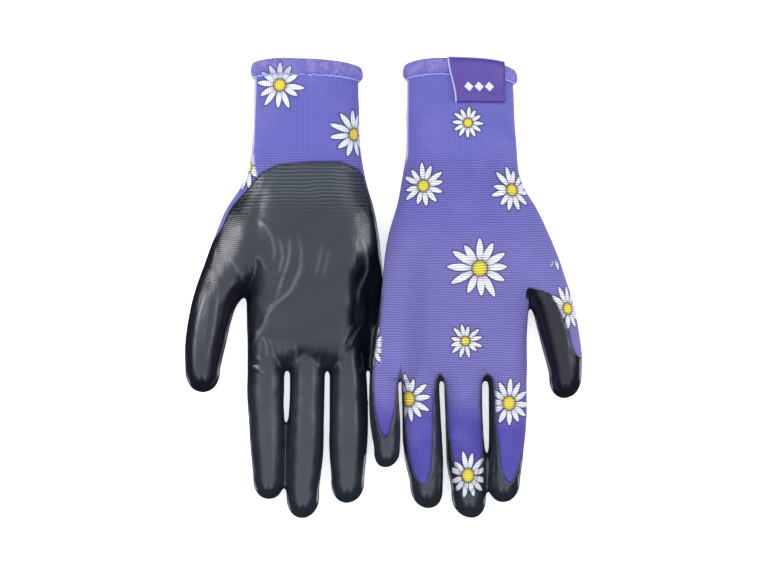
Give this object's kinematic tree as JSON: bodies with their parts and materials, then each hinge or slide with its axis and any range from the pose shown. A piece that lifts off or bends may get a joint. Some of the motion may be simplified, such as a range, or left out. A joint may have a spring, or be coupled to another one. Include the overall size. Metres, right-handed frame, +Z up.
{
  "type": "gardening gloves",
  "caption": "Pair of knitted gardening gloves with nitrile-dipped palms and fingers, ribbed cuffs and a folded hem label, one palm up and one palm down.",
  "frame": {"origin": "centre of the bounding box's bottom, on the surface the gloves lie on", "axes": "+Y from the fingertips to the cuffs, +Z up from the surface, +X from the palm-up glove to the palm-down glove"},
  "size_m": [0.2047, 0.2371, 0.0349],
  "materials": {
    "knit": "seamless purple polyester knit",
    "nitrile": "smooth glossy nitrile dip",
    "thread": "light blue overlock thread",
    "satin": "woven satin tape"
  },
  "bodies": {
    "palm_up_hand": {"palm_up_hand_knit": "knit", "palm_up_palm_coating": "nitrile", "palm_up_cuff": "knit", "palm_up_cuff_hem": "knit", "palm_up_hem_stitching": "thread"},
    "palm_up_thumb": {"palm_up_thumb_stall": "knit", "palm_up_thumb_coating": "nitrile"},
    "palm_up_index": {"palm_up_index_stall": "knit", "palm_up_index_coating": "nitrile"},
    "palm_up_middle": {"palm_up_middle_stall": "knit", "palm_up_middle_coating": "nitrile"},
    "palm_up_ring": {"palm_up_ring_stall": "knit", "palm_up_ring_coating": "nitrile"},
    "palm_up_little": {"palm_up_little_stall": "knit", "palm_up_little_coating": "nitrile"},
    "palm_down_hand": {"palm_down_hand_knit": "knit", "palm_down_palm_coating": "nitrile", "palm_down_cuff": "knit", "palm_down_cuff_hem": "knit", "palm_down_hem_stitching": "thread"},
    "palm_down_thumb": {"palm_down_thumb_stall": "knit", "palm_down_thumb_coating": "nitrile"},
    "palm_down_index": {"palm_down_index_stall": "knit", "palm_down_index_coating": "nitrile"},
    "palm_down_middle": {"palm_down_middle_stall": "knit", "palm_down_middle_coating": "nitrile"},
    "palm_down_ring": {"palm_down_ring_stall": "knit", "palm_down_ring_coating": "nitrile"},
    "palm_down_little": {"palm_down_little_stall": "knit", "palm_down_little_coating": "nitrile"},
    "palm_down_label": {"palm_down_label": "satin"}
  },
  "joints": [
    {"name": "palm_up_thumb_flex", "type": "hinge", "parent": "palm_up_hand", "child": "palm_up_thumb", "pos_m": [-0.0879, -0.00885, 0.0201], "axis": [-1, 0, 0], "range_deg": [0, 45]},
    {"name": "palm_up_index_flex", "type": "hinge", "parent": "palm_up_hand", "child": "palm_up_index", "pos_m": [-0.06075, -0.04065, 0.0191], "axis": [-1, 0, 0], "range_deg": [0, 60]},
    {"name": "palm_up_middle_flex", "type": "hinge", "parent": "palm_up_hand", "child": "palm_up_middle", "pos_m": [-0.03945, -0.04065, 0.0197], "axis": [-1, 0, 0], "range_deg": [0, 60]},
    {"name": "palm_up_ring_flex", "type": "hinge", "parent": "palm_up_hand", "child": "palm_up_ring", "pos_m": [-0.019, -0.04065, 0.0177], "axis": [-1, 0, 0], "range_deg": [0, 60]},
    {"name": "palm_up_little_extend", "type": "hinge", "parent": "palm_up_hand", "child": "palm_up_little", "pos_m": [-0.0005, -0.04065, -0.0001], "axis": [1, 0, 0], "range_deg": [0, 30]},
    {"name": "palm_down_thumb_flex", "type": "hinge", "parent": "palm_down_hand", "child": "palm_down_thumb", "pos_m": [0.0879, -0.00885, -0.0001], "axis": [1, 0, 0], "range_deg": [0, 45]},
    {"name": "palm_down_index_flex", "type": "hinge", "parent": "palm_down_hand", "child": "palm_down_index", "pos_m": [0.06355, -0.04315, -0.0001], "axis": [1, 0, 0], "range_deg": [0, 60]},
    {"name": "palm_down_middle_flex", "type": "hinge", "parent": "palm_down_hand", "child": "palm_down_middle", "pos_m": [0.0411, -0.04315, -0.0001], "axis": [1, 0, 0], "range_deg": [0, 60]},
    {"name": "palm_down_ring_flex", "type": "hinge", "parent": "palm_down_hand", "child": "palm_down_ring", "pos_m": [0.0192, -0.04315, 0.0043], "axis": [1, 0, 0], "range_deg": [0, 60]},
    {"name": "palm_down_little_extend", "type": "hinge", "parent": "palm_down_hand", "child": "palm_down_little", "pos_m": [0.0003, -0.04315, 0.0271], "axis": [-1, 0, 0], "range_deg": [0, 30]},
    {"name": "palm_down_lift", "type": "slide", "parent": "palm_up_hand", "child": "palm_down_hand", "axis": [0, 0, 1], "range_m": [0, 0.12]},
    {"name": "palm_down_label_flap", "type": "hinge", "parent": "palm_down_hand", "child": "palm_down_label", "pos_m": [0.0478, 0.1164, 0.02988], "axis": [-1, 0, 0], "range_deg": [0, 120]}
  ]
}
